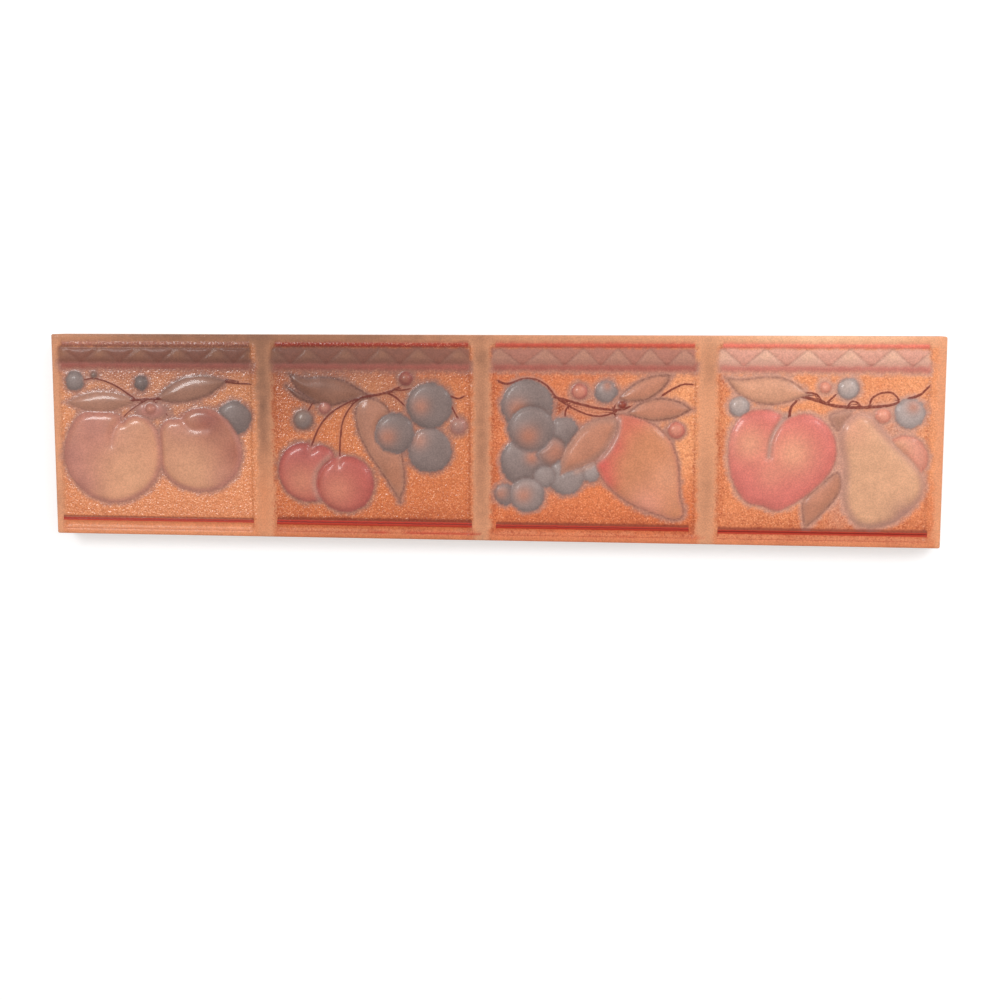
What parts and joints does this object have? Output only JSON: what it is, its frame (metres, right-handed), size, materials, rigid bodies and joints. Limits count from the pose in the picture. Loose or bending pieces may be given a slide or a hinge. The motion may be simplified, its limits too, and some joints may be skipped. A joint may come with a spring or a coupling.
{
  "type": "relief border tile",
  "caption": "Long glazed ceramic border strip with square sunk panels of moulded fruit and leaves under a ribbon band; its keyed back is bedded on a wall in adhesive.",
  "frame": {"origin": "middle of the back, on the plane that is bedded in adhesive", "axes": "+X along the strip, +Y up the strip as it is hung, +Z out of the decorated face"},
  "size_m": [0.2, 0.046, 0.0078],
  "materials": {
    "glazed_tile": "gloss glaze over hand-coloured relief, stippled terracotta ground, cream frame"
  },
  "bodies": {
    "root": {"border_tile": "glazed_tile"}
  },
  "joints": []
}
